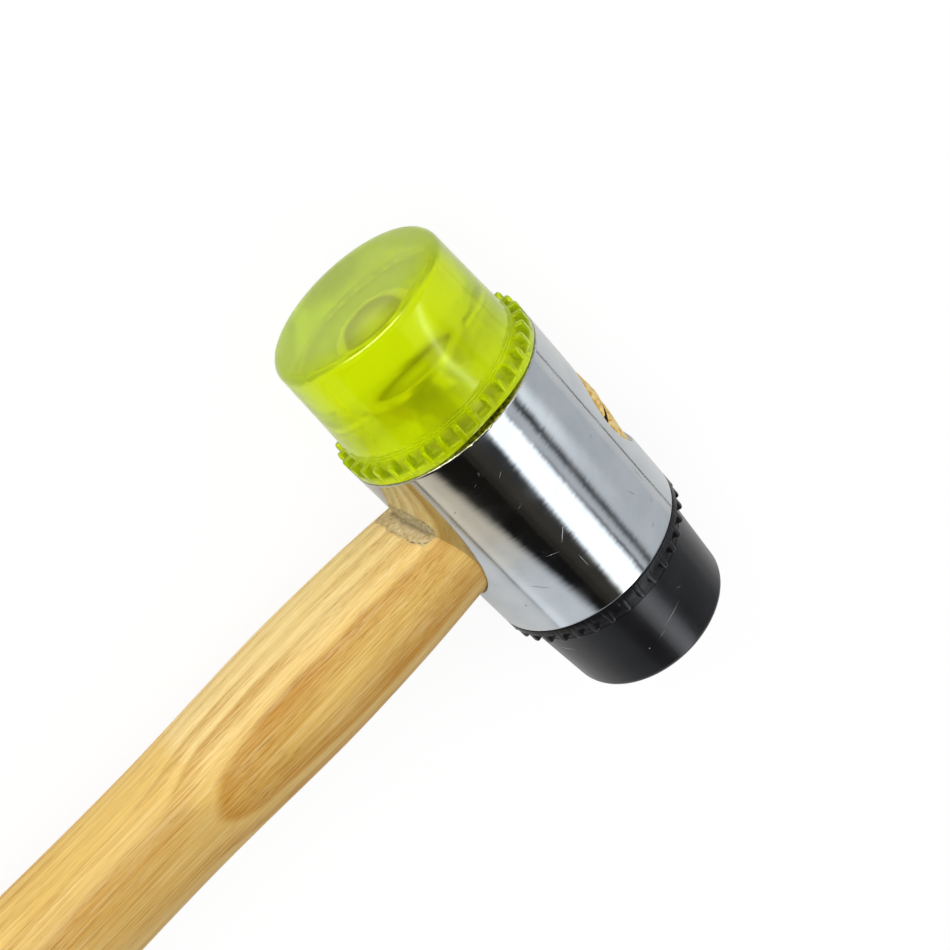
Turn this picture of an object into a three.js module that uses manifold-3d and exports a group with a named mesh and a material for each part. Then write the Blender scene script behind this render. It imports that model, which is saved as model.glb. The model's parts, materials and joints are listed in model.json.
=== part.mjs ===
// A double-faced soft-face mallet, lying on its side as it is put down on a bench, in millimetres, +Z up.
// The head's axis runs along X with the yellow face at -X and the black face at +X; the handle runs to -Y.
// Each face carries a moulded-in screw stud and unscrews from the steel barrel by its toothed flange.
import * as THREE from "three";
import { mergeVertices } from "three/addons/utils/BufferGeometryUtils.js";
import Module from "manifold-3d";

const wasm = await Module();
wasm.setup();

// Gap between two pieces that seat, screw or fit together.
const fitClearance = 0.3;

// Barrel: a chromed steel bar, bored along its axis for the studs and across it for the handle.
const barrelRadius = 20;
const barrelLength = 43;
const barrelEdgeChamfer = 0.5;

// Faces: a tapered drum on a toothed hand flange as wide as the barrel, both faces from the same mould.
const flangeThickness = 3.6;
const flangeEdgeChamfer = 0.4;
const flangeLedge = 1.9;
const drumDraft = 1;
const drumHeight = 20.2;
const strikingEdgeRadius = 2;

// Pockets between the flange's teeth, open to the outside and towards the drum.
const pocketCount = 36;
const pocketWidth = 2.3;
const pocketDepth = 1.7;
const pocketRim = 1.4;

// Studs: a right-hand screw thread with a round head that the face is moulded over.
const threadRadius = 4;
const threadPitch = 1.25;
const threadLeadIn = 0.6;
const studHeadRadius = 7.25;
const studHeadThickness = 5;
const studHeadDepth = 15.1;
const studHeadChamfer = 0.8;

// Handle: a turned ash stick whose straight tenon goes right through the barrel.
const tenonRadius = 11.1;
const tenonProud = 0.7;
const neckRadius = 11.9;
const neckDistance = 10;
const bulgeRadius = 12.6;
const bulgeDistance = 29;
const waistRadius = 12;
const waistDistance = 66;
const gripRadius = 14;
const gripDistance = 170;
const buttRadius = 13;
const buttRound = 4;
const handleLength = 242;
const gripThickness = 25;

// Kerf sawn into the tenon's end, and the wedge driven down into it.
const kerfMouth = 1.6;
const kerfFloor = 0.9;
const kerfDepth = 24;
const wedgeHeight = 14;
const wedgeSink = 1;
const wedgeInset = 1;

const roundSegments = 72;
const studSegments = 32;
const handleSegments = 40;
const handleRings = 22;
const arcSteps = 4;
const cutMargin = 1;

// Sizes that follow from the ones above.
const eyeRadius = tenonRadius + fitClearance;
const threadBoreRadius = threadRadius + fitClearance;
const threadRoom = barrelLength / 2 - eyeRadius - fitClearance;
const threadTurns = Math.floor(threadRoom / threadPitch);
const threadReach = threadTurns * threadPitch;
const flangeRadius = barrelRadius;
const drumBaseRadius = flangeRadius - flangeLedge;
const drumTopRadius = drumBaseRadius - drumDraft;
const faceHeight = flangeThickness + drumHeight;
const studHeadTop = faceHeight - studHeadDepth;
const studHeadSeat = studHeadTop - studHeadThickness;
const tenonTop = barrelRadius + tenonProud;
const buttReach = barrelRadius + handleLength;

// Makes a closed solid from a three.js geometry, whose shared vertices are merged first.
function solidFrom(geometry) {
  const bare = geometry.clone();
  bare.deleteAttribute("normal");
  bare.deleteAttribute("uv");
  const merged = mergeVertices(bare);
  const mesh = new wasm.Mesh({
    numProp: 3,
    vertProperties: new Float32Array(merged.attributes.position.array),
    triVerts: new Uint32Array(merged.index.array),
  });
  return new wasm.Manifold(mesh);
}

// Turns a solid back into a geometry with flat facet normals.
function geometryFrom(solid) {
  const mesh = solid.getMesh();
  const indexed = new THREE.BufferGeometry();
  indexed.setAttribute("position", new THREE.BufferAttribute(new Float32Array(mesh.vertProperties), 3));
  indexed.setIndex(new THREE.BufferAttribute(new Uint32Array(mesh.triVerts), 1));
  const geometry = indexed.toNonIndexed();
  geometry.computeVertexNormals();
  return geometry;
}

// Turns a profile of radius and height about the X axis, with height along +X.
function turnedAlongX(profile, segments) {
  const geometry = new THREE.LatheGeometry(profile, segments);
  geometry.rotateZ(-Math.PI / 2);
  return geometry;
}

// Points of a circular arc in the profile plane, from one angle to another.
function arcPoints(centreRadius, centreHeight, radius, fromAngle, toAngle) {
  const points = [];
  for (let step = 0; step <= arcSteps; step += 1) {
    const angle = fromAngle + ((toAngle - fromAngle) * step) / arcSteps;
    const x = centreRadius + radius * Math.cos(angle);
    const y = centreHeight + radius * Math.sin(angle);
    points.push(new THREE.Vector2(x, y));
  }
  return points;
}

function pieceMesh(name, geometry, color, roughness, metalness) {
  const material = new THREE.MeshStandardMaterial({ color, roughness, metalness });
  const mesh = new THREE.Mesh(geometry, material);
  mesh.name = name;
  return mesh;
}

// The barrel is a thick ring about X, with the handle's eye drilled through both walls along Y.
function barrelGeometry() {
  const half = barrelLength / 2;
  const profile = [
    new THREE.Vector2(threadBoreRadius, -half),
    new THREE.Vector2(barrelRadius - barrelEdgeChamfer, -half),
    new THREE.Vector2(barrelRadius, -half + barrelEdgeChamfer),
    new THREE.Vector2(barrelRadius, half - barrelEdgeChamfer),
    new THREE.Vector2(barrelRadius - barrelEdgeChamfer, half),
    new THREE.Vector2(threadBoreRadius, half),
    new THREE.Vector2(threadBoreRadius, -half),
  ];
  const ring = solidFrom(turnedAlongX(profile, roundSegments));
  const drillLength = 2 * (barrelRadius + cutMargin);
  const drill = solidFrom(new THREE.CylinderGeometry(eyeRadius, eyeRadius, drillLength, roundSegments));
  return geometryFrom(ring.subtract(drill));
}

// The pockets between the teeth, as one set of blocks that stand round the flange's edge.
function pocketBlocks() {
  const shapes = [];
  const inner = flangeRadius - pocketDepth;
  const outer = flangeRadius + cutMargin;
  const half = pocketWidth / 2;
  for (let index = 0; index < pocketCount; index += 1) {
    const angle = (index * 2 * Math.PI) / pocketCount;
    const corners = [[inner, -half], [outer, -half], [outer, half], [inner, half]];
    const turned = corners.map(([x, y]) => new THREE.Vector2(x, y).rotateAround(new THREE.Vector2(), angle));
    shapes.push(new THREE.Shape(turned));
  }
  const depth = flangeThickness - pocketRim + cutMargin;
  const blocks = new THREE.ExtrudeGeometry(shapes, { depth, bevelEnabled: false });
  blocks.rotateY(Math.PI / 2);
  blocks.translate(pocketRim, 0, 0);
  return blocks;
}

// A face stands on its base plane at X = 0 and strikes towards +X; its inside fits round the stud.
function faceGeometry() {
  const holeRadius = threadRadius + fitClearance;
  const headRoom = studHeadRadius + fitClearance;
  const edgeCentre = drumTopRadius - strikingEdgeRadius;
  const profile = [
    new THREE.Vector2(0, studHeadTop + fitClearance),
    new THREE.Vector2(headRoom, studHeadTop + fitClearance),
    new THREE.Vector2(headRoom, studHeadSeat - fitClearance),
    new THREE.Vector2(holeRadius, studHeadSeat - fitClearance),
    new THREE.Vector2(holeRadius, 0),
    new THREE.Vector2(flangeRadius - flangeEdgeChamfer, 0),
    new THREE.Vector2(flangeRadius, flangeEdgeChamfer),
    new THREE.Vector2(flangeRadius, flangeThickness - flangeEdgeChamfer),
    new THREE.Vector2(flangeRadius - flangeEdgeChamfer, flangeThickness),
    new THREE.Vector2(drumBaseRadius, flangeThickness),
    ...arcPoints(edgeCentre, faceHeight - strikingEdgeRadius, strikingEdgeRadius, 0, Math.PI / 2),
    new THREE.Vector2(0, faceHeight),
  ];
  const drum = solidFrom(turnedAlongX(profile, roundSegments));
  return geometryFrom(drum.subtract(solidFrom(pocketBlocks())));
}

// A stud in the face's frame: the head inside the drum, the thread reaching back into the barrel.
function studGeometry() {
  const tip = -fitClearance - threadReach;
  const profile = [
    new THREE.Vector2(0, tip),
    new THREE.Vector2(threadRadius - threadLeadIn, tip),
    new THREE.Vector2(threadRadius, tip + threadLeadIn),
    new THREE.Vector2(threadRadius, studHeadSeat),
    new THREE.Vector2(studHeadRadius, studHeadSeat),
    new THREE.Vector2(studHeadRadius, studHeadTop - studHeadChamfer),
    new THREE.Vector2(studHeadRadius - studHeadChamfer, studHeadTop),
    new THREE.Vector2(0, studHeadTop),
  ];
  return turnedAlongX(profile, studSegments);
}

// The stick's outline as radius against height along Y, from the butt's centre up to the tenon's end.
function handleProfile() {
  const stations = [
    [tenonRadius, 0],
    [neckRadius, neckDistance],
    [bulgeRadius, bulgeDistance],
    [waistRadius, waistDistance],
    [gripRadius, gripDistance],
    [buttRadius, handleLength - buttRound],
  ];
  const knots = stations.map(([radius, distance]) => new THREE.Vector3(radius, -barrelRadius - distance, 0));
  const shaft = new THREE.CatmullRomCurve3(knots.reverse(), false, "centripetal").getPoints(handleRings);
  return [
    new THREE.Vector2(0, -buttReach),
    ...arcPoints(buttRadius - buttRound, buttRound - buttReach, buttRound, -Math.PI / 2, 0).slice(0, -1),
    ...shaft.map((point) => new THREE.Vector2(point.x, point.y)),
    new THREE.Vector2(tenonRadius, tenonTop),
    new THREE.Vector2(0, tenonTop),
  ];
}

// A slot or wedge across the tenon: a taper in the XY plane, as long as given along Z.
function taperBlock(topHalf, bottomHalf, top, bottom, length) {
  const outline = new THREE.Shape([
    new THREE.Vector2(-bottomHalf, bottom),
    new THREE.Vector2(bottomHalf, bottom),
    new THREE.Vector2(topHalf, top),
    new THREE.Vector2(-topHalf, top),
  ]);
  const block = new THREE.ExtrudeGeometry(outline, { depth: length, bevelEnabled: false });
  block.translate(0, 0, -length / 2);
  return block;
}

// Half the kerf's width at a height along Y, on its straight taper.
function kerfHalfAt(height) {
  const share = (height - (tenonTop - kerfDepth)) / kerfDepth;
  return (kerfFloor + (kerfMouth - kerfFloor) * share) / 2;
}

// The handle: turned, flattened towards the grip, trimmed to the barrel's curve and sawn for its wedge.
function handleGeometry() {
  const turned = new THREE.LatheGeometry(handleProfile(), handleSegments);
  const position = turned.attributes.position;
  const gripFlatness = gripThickness / (2 * gripRadius);
  for (let index = 0; index < position.count; index += 1) {
    const below = -barrelRadius - position.getY(index);
    const flattening = THREE.MathUtils.smoothstep(below, 0, gripDistance);
    position.setZ(index, position.getZ(index) * THREE.MathUtils.lerp(1, gripFlatness, flattening));
  }
  const width = 2 * (gripRadius + bulgeRadius + tenonRadius);
  const trimRound = new THREE.CylinderGeometry(tenonTop, tenonTop, width, roundSegments).rotateZ(Math.PI / 2);
  const belowHead = new THREE.BoxGeometry(width, buttReach + cutMargin, width);
  belowHead.translate(0, -(buttReach + cutMargin) / 2, 0);
  const kept = solidFrom(trimRound).add(solidFrom(belowHead));
  const top = tenonTop + cutMargin;
  const floor = tenonTop - kerfDepth;
  const kerf = taperBlock(kerfHalfAt(top), kerfHalfAt(floor), top, floor, width);
  return geometryFrom(solidFrom(turned).intersect(kept).subtract(solidFrom(kerf)));
}

// The wedge follows the kerf's taper and stays below the tenon's trimmed end.
function wedgeGeometry() {
  const halfLength = tenonRadius - wedgeInset;
  const top = Math.sqrt(tenonTop ** 2 - halfLength ** 2) - wedgeSink;
  const tip = top - wedgeHeight;
  const topHalf = kerfHalfAt(top) - fitClearance;
  const tipHalf = kerfHalfAt(tip) - fitClearance;
  return taperBlock(topHalf, tipHalf, top, tip, 2 * halfLength);
}

// The tilt about X at which the lying handle just touches the plane that the barrel lies on.
function restingTilt(geometry, headRadius) {
  const position = geometry.attributes.position;
  let tilt = Math.PI / 2;
  for (let index = 0; index < position.count; index += 1) {
    const along = -position.getY(index);
    const below = -position.getZ(index);
    if (along > headRadius && below > 0) {
      const touching = Math.asin(headRadius / Math.hypot(along, below)) - Math.atan2(below, along);
      tilt = Math.min(tilt, touching);
    }
  }
  return tilt;
}

// One face with its stud, seated on a barrel end; the turn about Z sends it to +X or -X.
function faceAssembly(side, turn, color, roughness) {
  const group = new THREE.Group();
  const seat = barrelLength / 2 + fitClearance;
  const face = pieceMesh(side + "_face", faceGeometry(), color, roughness, 0);
  const stud = pieceMesh(side + "_face_stud", studGeometry(), 0xb4b2aa, 0.3, 1);
  face.position.x = seat;
  stud.position.x = seat;
  group.add(face, stud);
  group.rotation.z = turn;
  return group;
}

const mallet = new THREE.Group();
mallet.name = "soft_face_mallet";
const handleShape = handleGeometry();
mallet.add(
  pieceMesh("head_barrel", barrelGeometry(), 0xc8ccd0, 0.1, 1),
  faceAssembly("yellow", Math.PI, 0xb6d800, 0.2),
  faceAssembly("black", 0, 0x2b2c2e, 0.6),
  pieceMesh("handle", handleShape, 0xe3c584, 0.5, 0),
  pieceMesh("handle_wedge", wedgeGeometry(), 0x9a6f3c, 0.7, 0),
);

// The mallet lies on the barrel's side and the handle's butt, over the middle of its own outline.
mallet.rotation.x = restingTilt(handleShape, barrelRadius);
mallet.updateMatrixWorld(true);
const outline = new THREE.Box3().setFromObject(mallet, true);
const middle = outline.getCenter(new THREE.Vector3());
mallet.position.set(-middle.x, -middle.y, -outline.min.z);

const root = new THREE.Group();
root.add(mallet);

export default root;
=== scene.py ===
import json

import bmesh
import bpy
import numpy as np
from mathutils import Matrix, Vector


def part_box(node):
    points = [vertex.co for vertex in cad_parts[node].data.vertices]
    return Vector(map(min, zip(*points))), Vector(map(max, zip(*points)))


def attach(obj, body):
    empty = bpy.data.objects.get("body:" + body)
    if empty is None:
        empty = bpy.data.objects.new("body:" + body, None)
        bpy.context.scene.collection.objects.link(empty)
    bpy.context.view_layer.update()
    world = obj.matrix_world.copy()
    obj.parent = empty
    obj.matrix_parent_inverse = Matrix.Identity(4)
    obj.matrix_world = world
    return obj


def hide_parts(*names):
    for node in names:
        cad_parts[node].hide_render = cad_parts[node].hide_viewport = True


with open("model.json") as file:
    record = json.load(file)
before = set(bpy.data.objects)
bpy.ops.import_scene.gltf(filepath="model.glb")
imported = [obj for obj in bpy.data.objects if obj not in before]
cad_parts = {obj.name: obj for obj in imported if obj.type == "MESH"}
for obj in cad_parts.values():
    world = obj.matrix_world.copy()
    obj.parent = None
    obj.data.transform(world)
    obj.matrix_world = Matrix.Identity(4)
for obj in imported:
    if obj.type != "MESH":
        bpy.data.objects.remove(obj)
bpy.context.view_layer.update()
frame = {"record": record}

# Barrel: a short steel bar, turned, drilled across for the handle and tapped at both ends, then polished
# and chrome plated. Its hand-ground edge under the yellow face is thinly plated and has started to rust, and
# it is painted dark olive as shade in the gap under that face.
MM = 0.001
mounts = {mount["name"]: mount for mount in frame["record"]["mounts"]}
barrel_low, barrel_high = (np.array(corner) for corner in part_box("head_barrel"))
head_centre = (barrel_low + barrel_high) / 2
along_head = np.array([1.0, 0.0, 0.0])
up_handle = -np.array(mounts["handle_butt"]["axis"])
mallet_axes = np.array([along_head, up_handle, np.cross(along_head, up_handle)])

# Sizes are millimetres from the head's centre, on the mallet's own axes: X along the head, Y up the handle.
barrel_radius = (barrel_high[2] - barrel_low[2]) / 2 / MM
barrel_half = (barrel_high[0] - barrel_low[0]) / 2 / MM
round_cells = 360
run_cells = 48
weld = 0.002
eye_radius = 11.4
eye_lip = 0.35
mouth_radius = 10.6
mouth_shift = 1.2
bore_radius = 4.3
bore_floor = 12.1
bore_chamfer = 0.6
edge_land = 2.2
edge_row = 0.15
edge_drop = 0.02
edge_chamfer = 0.18
edge_waver = 0.2
edge_grime_and_shade = 0.7
rust_shade_middle = np.radians(86)
rust_shade_spread = np.radians(34)
rust_shade_depth = 3.0
rust_shade_fade = 1.0
rust_shade_on_side = 0.3


def make_piece(name, grids, material, layers=(), crease=32):
    """One mesh from grids of points in millimetres on the mallet's own axes, each rows by columns.

    Every cell of a grid is a quad. Points that agree are merged, which closes seams and poles and joins
    the grids, and the faces are turned outwards. Values after x, y, z go into the point layers named.
    """
    points, quads, start = [], [], 0
    for grid in grids:
        rows, columns = grid.shape[:2]
        index = start + np.arange(rows * columns).reshape(rows, columns)
        cells = np.stack([index[:-1, :-1], index[:-1, 1:], index[1:, 1:], index[1:, :-1]], axis=-1)
        points.append(grid.reshape(rows * columns, -1))
        quads.append(cells.reshape(-1, 4))
        start += rows * columns
    points = np.concatenate(points)
    places = head_centre + points[:, :3] @ mallet_axes * MM
    mesh = bpy.data.meshes.new(name)
    mesh.from_pydata(places.tolist(), [], np.concatenate(quads).tolist())
    for number, layer in enumerate(layers):
        values = mesh.attributes.new(layer, "FLOAT", "POINT").data
        values.foreach_set("value", points[:, 3 + number].copy())
    shell = bmesh.new()
    shell.from_mesh(mesh)
    bmesh.ops.remove_doubles(shell, verts=shell.verts, dist=weld * MM)
    bmesh.ops.recalc_face_normals(shell, faces=shell.faces)
    shell.to_mesh(mesh)
    shell.free()
    mesh.shade_smooth()
    mesh.set_sharp_from_angle(angle=np.radians(crease))
    mesh.materials.append(material)
    piece = bpy.data.objects.new(name, mesh)
    bpy.context.scene.collection.objects.link(piece)
    return piece


def turned(heights, radii, angles, darkening=0.0):
    """A profile carried round the head's axis: x is the height, y and z are the radius at each angle."""
    x, r, turn, mark = np.broadcast_arrays(heights, radii, angles, darkening)
    return np.stack([x, r * np.cos(turn), r * np.sin(turn), mark], axis=-1)


def barrel_wall(side, mouth, shift):
    """Half of the bar's side, from the middle of the eye's wall over its lip to the half's border.

    On the unrolled bar a ring's point is (1 - s) times the eye's edge plus s times the border, with the
    place along X and the angle from the eye mixed alike, and it is then rolled up at the bar's radius.
    """
    land = barrel_half - edge_land
    quarter = np.pi / 2
    half_round = round_cells // 2
    sweep = np.linspace(-quarter, quarter, half_round + 1)
    run = np.linspace(land, -land, run_cells + 1)
    border_x = np.concatenate([
        np.full(half_round, land), run[:-1], np.full(half_round, -land), run[::-1]])
    border_angle = np.concatenate([
        sweep[:-1], np.full(run_cells, quarter), sweep[:0:-1], np.full(run_cells + 1, -quarter)])
    turn = np.arctan2(barrel_radius * border_angle, border_x)
    edge = mouth + eye_lip
    share = np.linspace(0, 1, 34)[:, None]
    x = (1 - share) * (shift + edge * np.cos(turn)) + share * border_x
    angle = (1 - share) * np.arcsin(edge * np.sin(turn) / barrel_radius) + share * border_angle
    rings = np.stack([x, side * barrel_radius * np.cos(angle), barrel_radius * np.sin(angle)], axis=-1)
    bend = np.linspace(quarter, 0, 6)[:-1, None]
    reach = mouth + eye_lip * (1 - np.sin(bend))
    depth = np.sqrt(barrel_radius ** 2 - (reach * np.sin(turn)) ** 2) - eye_lip * (1 - np.cos(bend))
    lip = np.stack([shift + reach * np.cos(turn), side * depth, reach * np.sin(turn)], axis=-1)
    middle = eye_radius * np.stack([np.cos(turn), 0 * turn, np.sin(turn)], axis=-1)[None]
    wall = np.concatenate([middle, lip, rings])
    return np.concatenate([wall, np.zeros(wall.shape[:2] + (2,))], axis=-1)


def barrel_end(side):
    """An end of the bar as turned: side, chamfer, flat end, and the tapped hole down to its floor.

    The yellow end's rim is rusty, and painted dark as shade, over part of its turn, by a bell curve of the
    angle, and its chamfer wavers there by a sum of three sines. The whole yellow chamfer is grimy and
    painted darker as shade under the face. A row is height, radius, how dark and how bare it is.
    """
    angle = np.linspace(-np.pi / 2, 3 * np.pi / 2, round_cells + 1)
    waver = np.sin(37 * angle) + np.sin(61 * angle + 1) + np.sin(97 * angle + 2)
    # Rust, and painted shade in the gap under the yellow face, by a bell curve of the angle.
    rusty_and_shaded = np.exp(-((angle - rust_shade_middle) / rust_shade_spread) ** 4) * (side < 0)
    width = edge_chamfer * (1 + edge_waver * rusty_and_shaded * waver)
    grimy_and_shaded = np.maximum(rusty_and_shaded, edge_grime_and_shade * (side < 0))
    rows = [
        (barrel_half - edge_land, barrel_radius, 0, 0),
        (barrel_half - width - 2 * edge_row, barrel_radius, 0, 0),
        (barrel_half - width - edge_row, barrel_radius, 0, 0),
        (barrel_half - width, barrel_radius - edge_drop, rust_shade_on_side * rusty_and_shaded, 0),
        (barrel_half - 0.5 * width, barrel_radius - 0.5 * width, grimy_and_shaded, 0),
        (barrel_half, barrel_radius - width, grimy_and_shaded, 1),
        (barrel_half, barrel_radius - rust_shade_depth, rusty_and_shaded, 1),
        (barrel_half, barrel_radius - rust_shade_depth - rust_shade_fade, 0, 1),
        (barrel_half, bore_radius + bore_chamfer, 0, 1),
        (barrel_half - bore_chamfer, bore_radius, 0, 1),
        (bore_floor, bore_radius, 0, 1),
        (bore_floor, 0, 0, 1),
    ]
    columns = [np.stack([np.broadcast_to(row[i], angle.shape) for row in rows]) for i in range(4)]
    heights, radii, darkening, bare = columns
    return np.concatenate([turned(side * heights, radii, angle, darkening), bare[..., None]], axis=-1)


def linear(colour):
    """An sRGB hex colour as linear red, green, blue and alpha."""
    srgb = np.array([int(colour[i:i + 2], 16) for i in (1, 3, 5)]) / 255
    return (*np.where(srgb <= 0.04045, srgb / 12.92, ((srgb + 0.055) / 1.055) ** 2.4), 1.0)


def add_node(tree, kind, inputs=(), stops=(), **settings):
    """Adds a node with its settings, its inputs and, for a ramp, its stops.

    An input takes a value, another node's output, or another node, which gives its first output.
    """
    node = tree.nodes.new("ShaderNode" + kind)
    for name, value in settings.items():
        setattr(node, name, value)
    for name, value in dict(inputs).items():
        if isinstance(value, bpy.types.Node):
            value = next(output for output in value.outputs if output.enabled)
        if isinstance(value, bpy.types.NodeSocket):
            tree.links.new(value, node.inputs[name])
        else:
            node.inputs[name].default_value = value
    while stops and len(node.color_ramp.elements) < len(stops):
        node.color_ramp.elements.new(1.0)
    for number, (position, colour) in enumerate(stops):
        node.color_ramp.elements[number].position = position
        node.color_ramp.elements[number].color = linear(colour)
    return node


def new_material(name):
    """An empty material, and its node tree."""
    material = bpy.data.materials.new(name)
    material.use_nodes = True
    material.node_tree.nodes.clear()
    return material, material.node_tree


def mallet_place(tree):
    """Object coordinates turned into millimetres on the mallet's own axes."""
    place = add_node(tree, "TexCoord")
    lie_back = np.arctan2(up_handle[2], up_handle[1])
    return add_node(tree, "Mapping", {
        "Vector": place.outputs["Object"], "Location": tuple(-mallet_axes @ head_centre / MM),
        "Rotation": (-lie_back, 0.0, 0.0), "Scale": (1 / MM, 1 / MM, 1 / MM)})


# Chrome over polished steel: a grey mirror. The polishing belt left fine lines round the bar, which tilt
# the mirror a little from line to line, and use has left scratches and pits. Lines and scratches are drawn
# coarser than real ones, so that they show.
belt_size = (0.1, 14.0, 14.0)
belt_tilt = 0.065
sway_size = 8.0
sway_tilt = 0.011
pit_spacing = 3.5
pit_size = 0.1
scuff_size = (0.3, 0.14, 0.3)
rubbed_size = 7.0
rubbed_share = 0.6
haze_size = 5.0
rust_shade_size = 0.7
bar_scratches = [
    # Place along the head, angle round it from the tenon over the top, length, width, slope in degrees.
    (3.4, 98.3, 4.6, 0.09, 40), (5.3, 108.2, 3.4, 0.09, -73), (10.2, 99.3, 4.3, 0.06, 1),
    (13.5, 66.9, 2.4, 0.09, 62), (-10.8, 84.0, 1.6, 0.05, 30), (-13.6, 100.0, 2.2, 0.05, 55),
    (-6.4, 103.7, 1.8, 0.05, 70), (-16.2, 107.0, 1.4, 0.06, 20), (-14.8, 112.0, 1.1, 0.05, 65),
    (-2.5, 92.0, 1.0, 0.05, 35), (8.0, 88.0, 1.3, 0.05, 50),
]
bar_stains = [
    (10.0, 43.8, 5.0, 0.09, 4), (10.0, 56.6, 3.0, 0.08, -20), (10.1, 125.8, 4.6, 0.1, -51),
    (13.5, 141.0, 0.9, 0.16, 30), (17.6, 60.0, 1.4, 0.1, 70), (15.2, 49.5, 1.1, 0.1, 25),
    (-3.6, 52.0, 0.8, 0.1, 10), (-12.0, 130.0, 0.8, 0.1, 60),
]


def unrolled(tree, mallet_mm, radius):
    """A turned surface laid flat: millimetres along the head, and the angle round it times the radius."""
    split = add_node(tree, "SeparateXYZ", {"Vector": mallet_mm})
    turn = add_node(tree, "Math", {0: split.outputs["Z"], 1: split.outputs["Y"]}, operation="ARCTAN2")
    arc = add_node(tree, "Math", {0: turn, 1: radius}, operation="MULTIPLY")
    return add_node(tree, "CombineXYZ", {"X": split.outputs["X"], "Y": arc})


def scratched(tree, flat_mm, radius, scratches):
    """Scratches on a surface laid flat: 1 on each line, falling to 0 at its ends and sides.

    Each is a round spot drawn out long and turned by its slope.
    """
    lines = 0.0
    for x, degrees, length, width, slope in scratches:
        spot = add_node(tree, "Mapping", {
            "Vector": flat_mm, "Location": (x, radius * np.radians(degrees), 0.0),
            "Rotation": (0.0, 0.0, np.radians(slope)), "Scale": (length / 2, width, 1.0),
        }, vector_type="TEXTURE")
        line = add_node(tree, "TexGradient", {"Vector": spot}, gradient_type="SPHERICAL")
        lines = add_node(tree, "Math", {0: line.outputs["Fac"], 1: lines}, operation="MAXIMUM")
    return lines


chrome, tree = new_material("chrome_plated_polished_steel")
mallet_mm = mallet_place(tree)
# The belt's lines and a slow sway tilt the mirror round the bar, but not along it.
belt_place = add_node(tree, "Mapping", {"Vector": mallet_mm, "Scale": belt_size}, vector_type="TEXTURE")
belt = add_node(tree, "TexNoise", {"Vector": belt_place, "Scale": 1.0, "Detail": 3.0})
sway = add_node(tree, "TexNoise", {"Vector": mallet_mm, "Scale": 1 / sway_size, "Detail": 1.0})
belt_part = add_node(tree, "Math", {
    0: belt, 1: belt_tilt, 2: -(belt_tilt + sway_tilt) / 2}, operation="MULTIPLY_ADD")
tilt = add_node(tree, "Math", {0: sway, 1: sway_tilt, 2: belt_part}, operation="MULTIPLY_ADD")
outward = add_node(tree, "NewGeometry").outputs["Normal"]
round_bar = add_node(tree, "VectorMath", {0: tuple(along_head), 1: outward}, operation="CROSS_PRODUCT")
lean = add_node(tree, "VectorMath", {0: round_bar, "Scale": tilt}, operation="SCALE")
leaning = add_node(tree, "VectorMath", {0: outward, 1: lean}, operation="ADD")
mirror = add_node(tree, "VectorMath", {0: leaning}, operation="NORMALIZE")
# Scratches are pale, stains and pits are dark, and all of them and the fine scuffs are dull.
flat_mm = unrolled(tree, mallet_mm, barrel_radius)
lines = scratched(tree, flat_mm, barrel_radius, bar_scratches)
stains = scratched(tree, flat_mm, barrel_radius, bar_stains)
pits = add_node(tree, "TexVoronoi", {"Vector": flat_mm, "Scale": 1 / pit_spacing})
pitted = add_node(tree, "MapRange", {
    "Value": pits, "From Min": pit_size / pit_spacing, "From Max": 0.5 * pit_size / pit_spacing})
dark_marks = add_node(tree, "Math", {0: pitted, 1: stains}, operation="MAXIMUM")
line_marks = add_node(tree, "Math", {0: dark_marks, 1: lines}, operation="MAXIMUM")
scuff_place = add_node(tree, "Mapping", {"Vector": mallet_mm, "Scale": scuff_size}, vector_type="TEXTURE")
scuffs = add_node(tree, "TexNoise", {"Vector": scuff_place, "Scale": 1.0, "Detail": 2.0})
rubbed = add_node(tree, "TexNoise", {"Vector": mallet_mm, "Scale": 1 / rubbed_size, "Detail": 2.0})
scuff_sum = add_node(tree, "Math", {0: rubbed, 1: rubbed_share, 2: scuffs}, operation="MULTIPLY_ADD")
scuffed = add_node(tree, "MapRange", {"Value": scuff_sum, "From Min": 1.0, "From Max": 1.14, "To Max": 0.3})
marks = add_node(tree, "Math", {0: line_marks, 1: scuffed}, operation="MAXIMUM")
haze = add_node(tree, "TexNoise", {"Vector": mallet_mm, "Scale": 1 / haze_size, "Detail": 5.0})
gloss = add_node(tree, "MapRange", {
    "Value": haze, "From Min": 0.3, "From Max": 0.7, "To Min": 0.03, "To Max": 0.12})
plate = add_node(tree, "ValToRGB", {"Fac": haze}, [(0.3, "#C1C6CA"), (0.7, "#CDD1D3")])
scored = add_node(tree, "Mix", {"Factor": lines, "A": plate, "B": linear("#D5D8DA")}, data_type="RGBA")
stained = add_node(tree, "Mix", {
    "Factor": dark_marks, "A": scored, "B": linear("#4A4944")}, data_type="RGBA")
scored_shine = add_node(tree, "Mix", {"Factor": marks, "A": gloss, "B": 0.6})
# The ends under the faces are bare steel, and the yellow end's edge is rusty and grimy, and painted dark
# olive as shade in the gap under the face.
bare = add_node(tree, "Attribute", attribute_name="bare").outputs["Fac"]
metal = add_node(tree, "Mix", {"Factor": bare, "A": stained, "B": linear("#E9E8E4")}, data_type="RGBA")
rust_shade_spots = add_node(tree, "TexNoise", {"Vector": mallet_mm, "Scale": 1 / rust_shade_size, "Detail": 5.0})
rust_and_shade = add_node(tree, "ValToRGB", {"Fac": rust_shade_spots}, [
    (0.36, "#1E1A0A"), (0.46, "#625E14"), (0.56, "#88831E"), (0.7, "#B0A560")])
darkening = add_node(tree, "Attribute", attribute_name="darkening").outputs["Fac"]
skin = add_node(tree, "Mix", {"Factor": darkening, "A": metal, "B": rust_and_shade}, data_type="RGBA")
shine = add_node(tree, "Mix", {"Factor": darkening, "A": scored_shine, "B": 0.6})
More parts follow.
